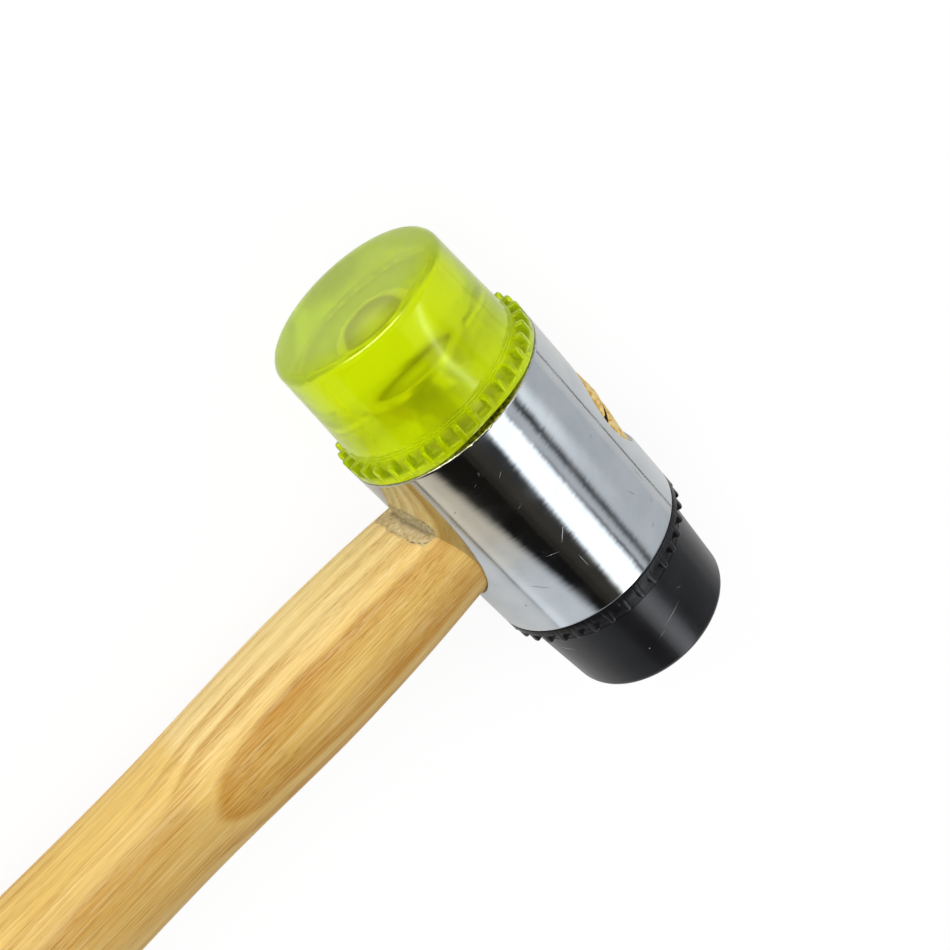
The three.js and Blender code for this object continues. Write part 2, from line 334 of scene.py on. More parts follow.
shader = add_node(tree, "BsdfPrincipled", {
    "Base Color": skin, "Metallic": 1.0, "Roughness": shine, "Normal": mirror})
add_node(tree, "OutputMaterial", {"Surface": shader})

barrel = make_piece("chromed_barrel", [
    barrel_wall(1, mouth_radius, mouth_shift), barrel_wall(-1, eye_radius, 0.0),
    barrel_end(1), barrel_end(-1)], chrome, ["darkening", "bare"])
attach(barrel, "head")
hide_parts("head_barrel")

# Handle: a stick turned from ash-like wood, driven through the barrel's eye, spread there by a wedge in a
# saw kerf and trimmed. A corner was pared rough so that it would enter, and the grip is lightly lacquered.
butt_reach = -float((np.array(mounts["handle_butt"]["pos_m"]) - head_centre) @ up_handle) / MM
tenon_gap = 0.2
tenon_radius = mouth_radius - tenon_gap
tenon_proud = (0.4, 0.1)
tenon_fall = (0.6, 0.75)
tenon_round = 0.3
kerf_half = 0.72
kerf_lean = 0.01
kerf_round = 0.5
kerf_rub = 0.3
kerf_depth = 23.0
kerf_shadow = (0.06, 0.02)
grip_radius = 14.0
grip_distance = 170.0
grip_thickness = 25.0
butt_radius = 13.0
butt_round = 4.0
stations = np.array([0.0, 10.0, 29.0, 66.0, 118.0, grip_distance, butt_reach - barrel_radius - butt_round])
station_radii = np.array([11.2, 11.9, 12.6, 12.0, 13.1, grip_radius, butt_radius])
# The pared corner: angles in degrees from the top of the stick, heights up the handle, and closer rows.
pare_depth = 1.25
pare_width = 4.2
pare_begins = (-124, -104)
pare_ends = (-47, -39)
pare_height = -23.6
pare_rises = [(1.1, -95, -60), (1.6, -58, -42)]
pare_waves = [(0.25, 11), (0.15, 29)]
pare_fibre = 0.12
close_rows = (-32, -12)


def eased(low, high, value):
    """Rises from 0 at low to 1 at high, level at both ends: 3 s squared minus 2 s cubed."""
    share = np.clip((value - low) / (high - low), 0, 1)
    return share * share * (3 - 2 * share)


def smooth_through(knots, values, at):
    """A cubic Hermite curve through the values at the knots, with slopes from neighbouring knots."""
    slopes = np.gradient(values, knots)
    left = np.clip(np.searchsorted(knots, at) - 1, 0, len(knots) - 2)
    gap = knots[left + 1] - knots[left]
    s = np.clip((at - knots[left]) / gap, 0, 1)
    start = (1 + 2 * s) * (1 - s) ** 2 * values[left] + s * (1 - s) ** 2 * gap * slopes[left]
    return start + s * s * (3 - 2 * s) * values[left + 1] - s * s * (1 - s) * gap * slopes[left + 1]


def tenon_end(x, z):
    """Height of the trimmed end: round like the barrel, proud at the kerf and less so to both sides.

    The edges of the kerf are rubbed down by a bell curve of the distance from them.
    """
    proud = np.where(x < 0, tenon_proud[0], tenon_proud[1])
    proud = proud - np.where(x < 0, tenon_fall[0], tenon_fall[1]) * eased(0, tenon_radius, np.abs(x))
    rubbed = kerf_rub * np.exp(-((np.abs(x) - kerf_half) / kerf_round) ** 2)
    return np.sqrt(barrel_radius ** 2 - z ** 2) + proud - rubbed - kerf_depth * (np.abs(x) < kerf_half)


def handle_grids():
    """The stick as an oval carried along the handle, and the tenon's end as strips across its disc.

    An oval's point at angle t is (half width sin t, half thickness cos t). The pared corner takes a shallow
    cone off the yellow side, above a lower edge of eased rises and sines of t, and is rough with two crossed
    sines. The end's rim follows the same heights as its strips.
    """
    end_radius = tenon_radius - tenon_round
    kerf_sides = np.array([-kerf_half - kerf_lean, kerf_lean - kerf_half, kerf_half - kerf_lean,
                           kerf_half + kerf_lean]) - mouth_shift
    columns = [np.radians(np.arange(-90, 91, 2.5)), np.arcsin(kerf_sides / end_radius)]
    across = np.sort(np.concatenate(columns))
    turn = np.concatenate([across, np.pi - across[::-1][1:]])
    round_off = np.linspace(0, np.pi / 2, 7)
    butt_y = -butt_reach + butt_round * (1 - np.cos(round_off))
    shaft_y = np.concatenate([
        np.linspace(butt_y[-1], close_rows[0], 110)[1:], np.linspace(*close_rows, 70)[1:]])
    y = np.concatenate([np.full(3, -butt_reach), butt_y, shaft_y])[:, None]
    below = -y - barrel_radius
    width = smooth_through(stations, station_radii, np.clip(below, 0, stations[-1]))
    shrink = np.concatenate([[0, 0.35, 0.7], np.ones(len(y) - 3)])[:, None]
    inset = np.concatenate([
        np.full(3, butt_round), butt_round * (1 - np.sin(round_off)), np.zeros(len(shaft_y))])
    width = shrink * (width - inset[:, None])
    flat = 1 + (grip_thickness / (2 * grip_radius) - 1) * eased(0, grip_distance, below)
    from_top = np.degrees((turn + np.pi) % (2 * np.pi) - np.pi)
    pared = eased(*pare_begins, from_top) * (1 - eased(*pare_ends, from_top))
    low_edge = np.full(turn.shape, pare_height)
    for rise, begins, ends in pare_rises:
        low_edge = low_edge + rise * eased(begins, ends, from_top)
    for height, count in pare_waves:
        low_edge = low_edge + height * np.sin(count * turn)
    cut = pared * np.clip((y - low_edge) / pare_width, 0, 1)
    fibres = pare_fibre * np.sin(61 * turn + 3 * np.sin(7 * turn)) * np.sin(1.7 * y + 5 * turn)
    width = width - cut * (pare_depth + fibres)
    oval_x = width * np.sin(turn)
    oval_z = width * flat * np.cos(turn)
    side = np.stack(np.broadcast_arrays(oval_x, y, oval_z, cut, 0.0), axis=-1)
    rim_out = np.array([1.0, 0.8, 0.3, 0.0])[:, None]
    rim_drop = np.array([1.0, 0.4, 0.1, 0.0])[:, None]
    rim_grain = np.array([0, 1, 1, 1])[:, None]
    rim_radius = tenon_radius - tenon_round * (1 - rim_out)
    rim_x = mouth_shift + rim_radius * np.sin(turn)
    rim_z = rim_radius * np.cos(turn)
    rim_y = tenon_end(rim_x, rim_z) - tenon_round * rim_drop
    rim = np.stack(np.broadcast_arrays(rim_x, rim_y, rim_z, 0.0, rim_grain), axis=-1)
    strip = np.linspace(1, -1, 41)
    cap_x = mouth_shift + (end_radius * np.sin(across))[:, None] + 0 * strip
    cap_z = strip * (end_radius * np.cos(across))[:, None]
    cap = np.stack(np.broadcast_arrays(cap_x, tenon_end(cap_x, cap_z), cap_z, 0.0, 1.0), axis=-1)
    return [np.concatenate([side, rim]), cap]


# Ash, turned and lacquered: pale wood, and golden bands where the cut runs along a ring of open pores, which
# show as short dark streaks along the stick. The pared corner is bare, grey and fibrous. Fibres are drawn
# coarser than real ones, so that they show.
ring_width = 3.2
ring_lie = (-0.12, 0.03, 1.0)
ring_bend = 1.4
ring_bend_at = (-83.0, -71.0)
first_ring = 10.1
ring_drift = 3.0
ring_feather = 0.4
drift_size = (13.0, 75.0, 13.0)
fibre_size = (0.38, 24.0, 0.38)
fibre_share = 0.25
patch_size = (9.0, 40.0, 9.0)
patch_middle = (-36.0, -60.0, -18.0)
flame_middle = (0.0, -52.0, 12.0)
flame_reach = (16.0, 48.0, 9.0)
pore_size = (0.15, 6.0, 0.15)
side_tone_span = 13.0
tube_size = (0.9, 8.0, 0.9)
torn_size = (0.6, 1.0, 0.6)
torn_relief = 0.25

ash, tree = new_material("turned_lacquered_ash")
mallet_mm = mallet_place(tree)
split = add_node(tree, "SeparateXYZ", {"Vector": mallet_mm})
# Depth into the stick counts the rings. They bend near the flame, wander and are feathered by fibres.
drift_place = add_node(tree, "Mapping", {"Vector": mallet_mm, "Scale": drift_size}, vector_type="TEXTURE")
drift = add_node(tree, "TexNoise", {"Vector": drift_place, "Scale": 1.0, "Detail": 2.0})
depth = add_node(tree, "VectorMath", {0: mallet_mm, 1: ring_lie}, operation="DOT_PRODUCT")
bend = add_node(tree, "MapRange", {
    "Value": split.outputs["Y"], "From Min": ring_bend_at[0], "From Max": ring_bend_at[1],
    "To Max": ring_bend}, interpolation_type="SMOOTHSTEP")
bent = add_node(tree, "Math", {0: depth.outputs["Value"], 1: bend}, operation="ADD")
wander = add_node(tree, "Math", {0: drift, 1: ring_drift, 2: bent}, operation="MULTIPLY_ADD")
ring_start = -(first_ring + ring_drift / 2) / ring_width - ring_feather / 2
ring = add_node(tree, "Math", {0: wander, 1: 1 / ring_width, 2: ring_start}, operation="MULTIPLY_ADD")
fibre_place = add_node(tree, "Mapping", {"Vector": mallet_mm, "Scale": fibre_size}, vector_type="TEXTURE")
fibre = add_node(tree, "TexNoise", {"Vector": fibre_place, "Scale": 1.0, "Detail": 4.0})
feathered = add_node(tree, "Math", {0: fibre, 1: ring_feather, 2: ring}, operation="MULTIPLY_ADD")
phase = add_node(tree, "Math", {0: feathered}, operation="FRACT")
band = add_node(tree, "ValToRGB", {"Fac": phase}, [
    (0.0, "#000000"), (0.16, "#FFFFFF"), (0.5, "#C0C0C0"), (0.72, "#303030"), (0.97, "#000000")])
# The golden bands are faint in some patches and bold in the flame on top.
patch_place = add_node(tree, "Mapping", {
    "Vector": mallet_mm, "Location": patch_middle, "Scale": patch_size}, vector_type="TEXTURE")
patch = add_node(tree, "TexNoise", {"Vector": patch_place, "Scale": 1.0, "Detail": 1.0})
strength = add_node(tree, "MapRange", {
    "Value": patch, "From Min": 0.35, "From Max": 0.65, "To Min": 0.15, "To Max": 0.8})
flame_place = add_node(tree, "Mapping", {
    "Vector": mallet_mm, "Location": flame_middle, "Scale": flame_reach}, vector_type="TEXTURE")
flame = add_node(tree, "TexGradient", {"Vector": flame_place}, gradient_type="SPHERICAL")
bold = add_node(tree, "MapRange", {"Value": flame.outputs["Fac"], "From Max": 0.35})
strongest = add_node(tree, "Math", {0: strength, 1: bold}, operation="MAXIMUM")
golden = add_node(tree, "Math", {0: band, 1: strongest}, operation="MULTIPLY")
# Pores crowd in the golden bands.
pore_place = add_node(tree, "Mapping", {"Vector": mallet_mm, "Scale": pore_size}, vector_type="TEXTURE")
pore = add_node(tree, "TexNoise", {"Vector": pore_place, "Scale": 1.0, "Detail": 2.0})
streak = add_node(tree, "MapRange", {"Value": pore, "From Min": 0.55, "From Max": 0.62})
crowd = add_node(tree, "Math", {0: golden, 1: 0.62, 2: 0.2}, operation="MULTIPLY_ADD")
open_pore = add_node(tree, "Math", {0: streak, 1: crowd}, operation="MULTIPLY")
# The plain wood is darker on the black face's side.
toward_black_side = add_node(tree, "MapRange", {
    "Value": split.outputs["X"], "From Min": -side_tone_span, "From Max": side_tone_span,
    "To Min": 0.3, "To Max": 1.3})
depths = add_node(tree, "Math", {0: bend, 1: -0.3 / ring_bend, 2: toward_black_side}, operation="MULTIPLY_ADD")
pale = add_node(tree, "ValToRGB", {"Fac": depths}, [
    (0.06, "#FAE09C"), (0.2, "#EECA76"), (0.42, "#EAC46C"), (0.54, "#D8B468"), (0.9, "#D6B266")])
tone = add_node(tree, "Mix", {"Factor": golden, "A": pale, "B": linear("#BA801A")}, data_type="RGBA")
fibre_tone = add_node(tree, "ValToRGB", {"Fac": fibre}, [
    (0.32, "#C08A2C"), (0.5, "#E6BC60"), (0.68, "#FAE6AC")])
wood = add_node(tree, "Mix", {"Factor": fibre_share, "A": tone, "B": fibre_tone}, data_type="RGBA")
wood_pores = add_node(tree, "Mix", {
    "Factor": open_pore, "A": wood, "B": linear("#A8721E")}, data_type="RGBA")
# The sawn end shows its tubes, in a tone made paler to look lit: painted light. The kerf in it is painted
# dark: painted shade.
end_grain = add_node(tree, "Attribute", attribute_name="end_grain").outputs["Fac"]
tube_place = add_node(tree, "Mapping", {"Vector": mallet_mm, "Scale": tube_size}, vector_type="TEXTURE")
tubes = add_node(tree, "TexNoise", {"Vector": tube_place, "Scale": 1.0, "Detail": 3.0})
lit_end_tone = add_node(tree, "ValToRGB", {"Fac": tubes}, [
    (0.36, "#DCA23C"), (0.5, "#FFDA78"), (0.66, "#FFF0B4")])
wood_ends = add_node(tree, "Mix", {"Factor": end_grain, "A": wood_pores, "B": lit_end_tone}, data_type="RGBA")
from_kerf = add_node(tree, "Math", {0: split.outputs["X"]}, operation="ABSOLUTE")
in_kerf = add_node(tree, "MapRange", {
    "Value": from_kerf, "From Min": kerf_half + kerf_shadow[0], "From Max": kerf_half + kerf_shadow[1]})
kerf_shade = add_node(tree, "Math", {0: in_kerf, 1: end_grain}, operation="MULTIPLY")
# Dark in the kerf: painted shade.
wood_cut = add_node(tree, "Mix", {
    "Factor": kerf_shade, "A": wood_ends, "B": linear("#5E3E14")}, data_type="RGBA")
# The pared corner is torn and soiled, and painted darker as shade next to the barrel, with dark spots along
# its edge.
pared = add_node(tree, "Attribute", attribute_name="pared").outputs["Fac"]
torn_place = add_node(tree, "Mapping", {"Vector": mallet_mm, "Scale": torn_size}, vector_type="TEXTURE")
torn = add_node(tree, "TexNoise", {"Vector": torn_place, "Scale": 1.0, "Detail": 5.0})
ragged = add_node(tree, "Math", {0: torn, 1: -0.12, 2: pared}, operation="MULTIPLY_ADD")
bare_wood = add_node(tree, "MapRange", {"Value": ragged, "From Min": -0.02, "From Max": 0.02})
torn_tone = add_node(tree, "ValToRGB", {"Fac": torn}, [
    (0.3, "#B4945A"), (0.42, "#CFB37C"), (0.6, "#DCC694"), (0.75, "#ECDDB6")])
# Darker next to the barrel: soil, and painted shade.
soil_and_shade = add_node(tree, "MapRange", {"Value": pared, "From Min": 0.6, "From Max": 0.75, "To Max": 0.5})
darkened_tone = add_node(tree, "Mix", {"Factor": soil_and_shade, "A": torn_tone, "B": linear("#8C8060")}, data_type="RGBA")
surface = add_node(tree, "Mix", {"Factor": bare_wood, "A": wood_cut, "B": darkened_tone}, data_type="RGBA")
torn_edge = add_node(tree, "ValToRGB", {"Fac": ragged}, [
    (0.0, "#000000"), (0.03, "#FFFFFF"), (0.07, "#FFFFFF"), (0.16, "#000000")])
spots = add_node(tree, "MapRange", {"Value": torn, "From Min": 0.5, "From Max": 0.62})
edge_spots = add_node(tree, "Math", {0: torn_edge, 1: spots}, operation="MULTIPLY")
edged = add_node(tree, "Mix", {
    "Factor": edge_spots, "A": surface, "B": linear("#7E5A22")}, data_type="RGBA")
relief = add_node(tree, "Math", {0: open_pore, 1: -0.5, 2: fibre}, operation="MULTIPLY_ADD")
rough_relief = add_node(tree, "Mix", {"Factor": bare_wood, "A": relief, "B": torn})
bump = add_node(tree, "Bump", {"Height": rough_relief, "Strength": 0.35, "Distance": torn_relief * MM})
shine = add_node(tree, "MapRange", {"Value": bare_wood, "To Min": 0.5, "To Max": 0.85})
shader = add_node(tree, "BsdfPrincipled", {
    "Base Color": edged, "Roughness": shine, "Specular IOR Level": 0.2, "Normal": bump})
add_node(tree, "OutputMaterial", {"Surface": shader})

handle = make_piece("ash_handle", handle_grids(), ash, ["pared", "end_grain"], 40)
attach(handle, "head")
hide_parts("handle")

# Wedge: a thin slip of split hardwood, left rough. It is driven into the kerf until the tenon is tight in
# the eye, and cut off below the tenon's end.
wedge_half = 9.9
wedge_top = 14.6
wedge_height = 11.6
wedge_thick = 0.6
wedge_tip = 0.25
wedge_corner = 0.35
wedge_ragged = 0.25
slip_fibre = (0.3, 8.0, 0.3)
split_relief = 0.2


def wedge_grid():
    """A rounded box outline in X and Z, carried from the tip to the top while its thickness grows evenly."""
    turn = np.linspace(0, 2 * np.pi, 65)
    x = np.sign(np.cos(turn)) * np.abs(np.cos(turn)) ** wedge_corner
    z = np.sign(np.sin(turn)) * np.abs(np.sin(turn)) ** wedge_corner
    rise = np.array([0, 0, 0.25, 0.5, 0.75, 0.985, 1, 1])[:, None]
    spread = np.array([0, 1, 1, 1, 1, 1, 0.93, 0])[:, None]
    thick = spread * (wedge_tip + (wedge_thick - wedge_tip) * rise)
    ragged = wedge_ragged * np.sin(19 * z) * (rise > 0.99) * (spread > 0)
    y = wedge_top - wedge_height * (1 - rise) + ragged
    return np.stack(np.broadcast_arrays(thick * x, y, spread * wedge_half * z), axis=-1)


# Split hardwood, left bare: dull and brown. Its rough fibres are drawn coarser than real, so that they show.
split_wood, tree = new_material("split_hardwood")
mallet_mm = mallet_place(tree)
fibre_place = add_node(tree, "Mapping", {"Vector": mallet_mm, "Scale": slip_fibre}, vector_type="TEXTURE")
fibre = add_node(tree, "TexNoise", {"Vector": fibre_place, "Scale": 1.0, "Detail": 4.0})
tone = add_node(tree, "ValToRGB", {"Fac": fibre}, [(0.3, "#4A2F14"), (0.7, "#8A5E2C")])
bump = add_node(tree, "Bump", {"Height": fibre, "Strength": 0.5, "Distance": split_relief * MM})
shader = add_node(tree, "BsdfPrincipled", {"Base Color": tone, "Roughness": 0.8, "Normal": bump})
add_node(tree, "OutputMaterial", {"Surface": shader})

wedge = make_piece("kerf_wedge", [wedge_grid()], split_wood)
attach(wedge, "head")
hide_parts("handle_wedge")

# Studs: steel screws with a round head that each face is moulded over. The thread is rolled, right-handed,
# and zinc plated; it runs from the tip up to the face.
seat_gap = 0.3
face_seat = barrel_half + seat_gap
thread_radius = 4.0
thread_pitch = 1.25
thread_depth = 0.72
thread_lead = 0.9
thread_end = -0.1
thread_fades = (-1.2, -0.3)
stud_tip = -9.05
stud_tip_radius = 1.5
stud_seat = 3.7
stud_fillet = 0.2
stud_head_radius = 7.25
stud_head_top = 8.7
stud_head_chamfer = 0.8
stud_head_round = 0.3
recess_radius = 5.4
recess_depth = 0.6
spangle_size = 1.2
spangle_relief = 0.05


def stud_grid(side):
    """The screw as radius over angle and height, with the thread a ridge wave of height and turn.

    The wave is |2 f - 1| of the fraction f of (height / pitch - turn), with flat crests and roots. It fades
    into a cone at the tip and runs out below the face. The other side's turn is counted the other way.
    """
    angle = np.linspace(0, 2 * np.pi, 73)
    height = np.linspace(stud_tip, thread_end, 130)[:, None]
    fraction = (height / thread_pitch - side * angle / (2 * np.pi)) % 1
    ridge = np.clip(1.3 * np.abs(2 * fraction - 1) - 0.1, 0, 1)
    cut = thread_depth * (1 - ridge) * (1 - eased(*thread_fades, height))
    lead = np.clip(thread_lead - (height - stud_tip), 0, None)
    screw = turned(face_seat + height, thread_radius - np.maximum(cut, lead), angle)
    tip = turned(face_seat + stud_tip, np.array([[0.0], [stud_tip_radius]]), angle)
    recess = stud_head_top - recess_depth
    profile = np.array([
        # Height over the seat, radius, painted shade in the head's recess.
        (0, thread_radius, 0),
        (stud_seat - stud_fillet, thread_radius, 0),
        (stud_seat, thread_radius + stud_fillet, 0),
        (stud_seat, stud_head_radius - stud_head_round, 0),
        (stud_seat + stud_head_round, stud_head_radius, 0),
        (stud_head_top - stud_head_chamfer, stud_head_radius, 0),
        (stud_head_top, stud_head_radius - stud_head_chamfer, 0),
        (stud_head_top, recess_radius, 0.2),
        (recess, recess_radius - stud_head_round, 0.9),
        (recess, 0, 0),
    ])
    heights, radii, recess_shade = profile.T[:, :, None]
    head = turned(face_seat + heights, radii, angle, recess_shade)
    return np.concatenate([tip, screw, head]) * [side, 1, 1, 1]


# Zinc over rolled steel: bright and pale, faintly mottled, with painted shade in the recess of the head.
zinc, tree = new_material("zinc_plated_rolled_steel")
mallet_mm = mallet_place(tree)
spangle = add_node(tree, "TexNoise", {"Vector": mallet_mm, "Scale": 1 / spangle_size, "Detail": 4.0})
tone = add_node(tree, "ValToRGB", {"Fac": spangle}, [(0.3, "#CFCCC0"), (0.7, "#E8E6DE")])
recess_shade = add_node(tree, "Attribute", attribute_name="recess_shade").outputs["Fac"]
# Darker in the head's recess: painted shade.
darkened_tone = add_node(tree, "Mix", {"Factor": recess_shade, "A": tone, "B": linear("#3E3A22")}, data_type="RGBA")
gloss = add_node(tree, "MapRange", {"Value": spangle, "To Min": 0.15, "To Max": 0.25})
bump = add_node(tree, "Bump", {"Height": spangle, "Strength": 0.2, "Distance": spangle_relief * MM})
shader = add_node(tree, "BsdfPrincipled", {
    "Base Color": darkened_tone, "Metallic": 1.0, "Roughness": gloss, "Normal": bump})
add_node(tree, "OutputMaterial", {"Surface": shader})

for colour, side in (("yellow", -1), ("black", 1)):
    stud = make_piece(colour + "_stud_screw", [stud_grid(side)], zinc, ["recess_shade"])
    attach(stud, colour + "_stud")
    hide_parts(colour + "_face_stud")

# Faces: moulded round the studs' heads, both from one kind of mould, with a drafted drum, a beaded collar
# and a flange of rounded teeth for the fingers. The yellow one is clear hard plastic, the black one rubber.
face_height = 23.8
flange_thickness = 3.6
flange_rim = 1.4
flange_round = 0.4
tooth_count = 36
tooth_round = 0.45
tooth_wall = 0.09
tooth_crown = 0.1
pocket_width = 2.25
pocket_depth = 1.7
pocket_row = 0.3
collar_beads = 3
collar_step = 0.5
collar_bead = 0.07
collar_slope = 0.12
drum_top_radius = 17.1
drum_base_radius = 17.95
drum_flare = 0.12
striking_round = 2.0
crown_radius = 12.4
crown_tilt = np.radians(14)
moulded_in = 0.03
base_radius = 12.0
base_drop = 0.22
bite = 0.8
bite_depth = 2.4
bite_from = (0.05, 0.35)
bite_middle = np.radians(86)
bite_spread = np.radians(25)


def face_grid(side):
    """A face as a profile of height and radius carried round the head's axis, with teeth.

    Each column mixes two profiles by a steep wave of the angle: one goes up the tooth's outside and in over
    its rounded end, the other in along the pocket's floor and up its back. The rest is turned. A bell curve
    of the angle takes a bite out of the yellow flange's underside.
    """
    pitch = 2 * np.pi * barrel_radius / tooth_count
    tooth_half = (pitch - pocket_width) / 2
    wall = (tooth_half - tooth_wall / 2, tooth_half + tooth_wall / 2)
    half = np.array([0, 0.4, 0.65, 0.85, 1]) * wall[0]
    half = np.concatenate([half, [wall[1], tooth_half + pocket_row, pitch / 2]])
    offset = np.concatenate([-half[:0:-1], half])[:-1]
    along = (np.arange(tooth_count)[:, None] * pitch + offset).ravel()
    along = np.append(along, along[0] + tooth_count * pitch)
    angle = along / barrel_radius
    from_tooth = np.abs((along + pitch / 2) % pitch - pitch / 2)
    pocket = eased(*wall, from_tooth)
    fall = np.clip((from_tooth - tooth_half + tooth_round) / tooth_round, 0, 1)
    tooth_top = flange_thickness - tooth_round * (1 - np.sqrt(1 - fall ** 2))
    tooth_out = barrel_radius - tooth_crown * (np.minimum(from_tooth, tooth_half) / tooth_half) ** 2
    back = barrel_radius - pocket_depth
    flange = np.array([
        # Tooth: how far up, in over its end, down its rounded edge, in at the collar. Pocket: in, up,
        # painted shade.
        (0, 0, 0, 0, 0, -0.06, 0),
        (0.25, 0, 0, 0, 0.12, 0, 0.3),
        (0.6, 0, 0, 0, 0.5, 0, 1),
        (1, 0, 1, 0, 0.9, 0, 1),
        (1, 0.3, 0.3, 0, 1, 0.06, 1),
        (1, 1, 0, 0, 1, 0.7, 1),
        (1, 1, 0, 1, 1, 1, 0.3),
    ])
    up, over, down, at_collar, pocket_in, pocket_up, pocket_shade = flange.T[:, :, None]
    tooth_h = flange_rim + up * (tooth_top - flange_rim) - down * flange_round
    tooth_r = tooth_out - over * flange_round - at_collar * (tooth_out - flange_round - back)
    pocket_h = flange_rim + pocket_up * (flange_thickness - flange_rim)
    pocket_r = barrel_radius - pocket_in * pocket_depth
    teeth = turned(face_seat + (1 - pocket) * tooth_h + pocket * pocket_h,
                   (1 - pocket) * tooth_r + pocket * pocket_r, angle, pocket_shade * pocket)
    shank = thread_radius - moulded_in
    head = stud_head_radius - moulded_in
    head_top = stud_head_top - moulded_in
    recess = head_top - recess_depth
    hollow = np.array([
        # Height over the seat and radius of the hollow round the stud, and of the flat base.
        (recess, 0),
        (recess, recess_radius - stud_head_round + moulded_in),
        (head_top, recess_radius + moulded_in),
        (head_top, head - stud_head_chamfer),
        (head_top - stud_head_chamfer, head),
        (stud_seat + moulded_in, head),
        (stud_seat + moulded_in, shank),
        (-base_drop, shank),
        (-base_drop, base_radius),
    ])
    bitten = bite * np.exp(-((angle - bite_middle) / bite_spread) ** 2) * (side < 0)
    notch = barrel_radius - flange_round - bite_depth * eased(*bite_from, bitten)
    rim_rise = np.array([0.05, 0.15, 0.38])[:, None]
    rim_in = np.array([0.35, 0.1, 0.0])[:, None]
    edge_h = np.concatenate([[0 * bitten, bitten], bitten + rim_rise]) - base_drop
    edge_r = np.concatenate([[notch - 0.05, notch], barrel_radius - rim_in + 0 * bitten])
    bead = np.arange(collar_beads)[:, None]
    bead_up = np.array([0, 0.25, 0.7, 0.95])
    bead_out = np.array([0, 1, 1, 0])
    base = flange_thickness + collar_beads * collar_step
    round_middle = drum_top_radius - striking_round
    crown_width = round_middle + striking_round * np.sin(crown_tilt) - crown_radius
    crown_drop = crown_width * np.tan(crown_tilt) / 2
    crown = np.linspace(1, 0, 7)[1:]
    bend = np.linspace(np.pi / 2, crown_tilt, 9)[1:]
    round_base = face_height - crown_drop - striking_round * np.cos(crown_tilt)
    drum_h = np.linspace(base, round_base, 9)
    draft = (drum_h - base) / (drum_h[-1] - base)
    drum_r = drum_base_radius + (drum_top_radius - drum_base_radius) * draft + drum_flare * (1 - draft) ** 6
    outer_h = np.concatenate([
        flange_thickness + collar_step * (bead + bead_up).ravel(), drum_h,
        round_base + striking_round * np.cos(bend), face_height - crown_drop * crown ** 2,
        np.full(3, face_height)])
    outer_r = np.concatenate([
        (back - collar_slope * (bead + 0.5) + collar_bead * bead_out).ravel(), drum_r,
        round_middle + striking_round * np.sin(bend), crown_radius + crown_width * crown, [8, 4, 0]])
    inner = turned(face_seat + hollow[:, :1], hollow[:, 1:], angle)
    edge = turned(face_seat + edge_h, edge_r, angle)
    outer = turned(face_seat + outer_h[:, None], outer_r[:, None], angle)
    return np.concatenate([inner, edge, teeth, outer]) * [side, 1, 1, 1]


# Clear plastic, moulded glossy and a little cloudy: light goes through it and comes out yellow-green.
# The pockets between the teeth are painted greyer as shade.
flow_size = 9.0
flow_relief = 0.5

clear_yellow, tree = new_material("moulded_clear_yellow_plastic")
mallet_mm = mallet_place(tree)
flow = add_node(tree, "TexNoise", {"Vector": mallet_mm, "Scale": 1 / flow_size, "Detail": 2.0})
gloss = add_node(tree, "MapRange", {
    "Value": flow, "From Min": 0.3, "From Max": 0.7, "To Min": 0.11, "To Max": 0.17})
bump = add_node(tree, "Bump", {"Height": flow, "Strength": 0.3, "Distance": flow_relief * MM})
pocket_shade = add_node(tree, "Attribute", attribute_name="pocket_shade").outputs["Fac"]
# Greyer in the pockets between the teeth: painted shade.
tone = add_node(tree, "Mix", {
    "Factor": pocket_shade, "A": linear("#E6FA06"), "B": linear("#CCD636")}, data_type="RGBA")
shader = add_node(tree, "BsdfPrincipled", {
    "Base Color": tone, "Roughness": gloss, "IOR": 1.43, "Transmission Weight": 0.71,
    "Specular Tint": linear("#F0FA60"), "Coat Weight": 0.2, "Coat Roughness": 0.05, "Coat IOR": 1.45,
    "Normal": bump})
dye = add_node(tree, "VolumeAbsorption", {"Color": linear("#F4FA40"), "Density": 12.0})
add_node(tree, "OutputMaterial", {"Surface": shader, "Volume": dye})

# Black rubber, moulded: dark grey with a dull sheen, paler where it has been scratched. The mould's grit is
# drawn coarser than real, so that it shows.
rub_size = 7.0
grit_size = 0.35
grit_relief = 0.06
rubber_scratches = [
    (34.75, 83.7, 6.1, 0.09, 75), (30.5, 153.3, 4.6, 0.16, -80), (37.35, 108.1, 0.5, 0.2, 20),
    (36.4, 96.0, 2.2, 0.06, 70), (32.2, 70.0, 1.6, 0.06, -60),
]

black_rubber, tree = new_material("moulded_black_rubber")
mallet_mm = mallet_place(tree)
rub = add_node(tree, "TexNoise", {"Vector": mallet_mm, "Scale": 1 / rub_size, "Detail": 5.0})
flat_mm = unrolled(tree, mallet_mm, drum_top_radius)
lines = scratched(tree, flat_mm, drum_top_radius, rubber_scratches)
grit = add_node(tree, "TexNoise", {"Vector": mallet_mm, "Scale": 1 / grit_size, "Detail": 3.0})
tone = add_node(tree, "ValToRGB", {"Fac": rub}, [(0.35, "#121215"), (0.65, "#19191D")])
marked = add_node(tree, "Mix", {"Factor": lines, "A": tone, "B": linear("#9A9A9C")}, data_type="RGBA")
gloss = add_node(tree, "MapRange", {"Value": rub, "To Min": 0.22, "To Max": 0.3})
bump = add_node(tree, "Bump", {"Height": grit, "Strength": 0.2, "Distance": grit_relief * MM})
shader = add_node(tree, "BsdfPrincipled", {
    "Base Color": marked, "Roughness": gloss, "IOR": 1.36, "Specular IOR Level": 0.46, "Normal": bump})
add_node(tree, "OutputMaterial", {"Surface": shader})

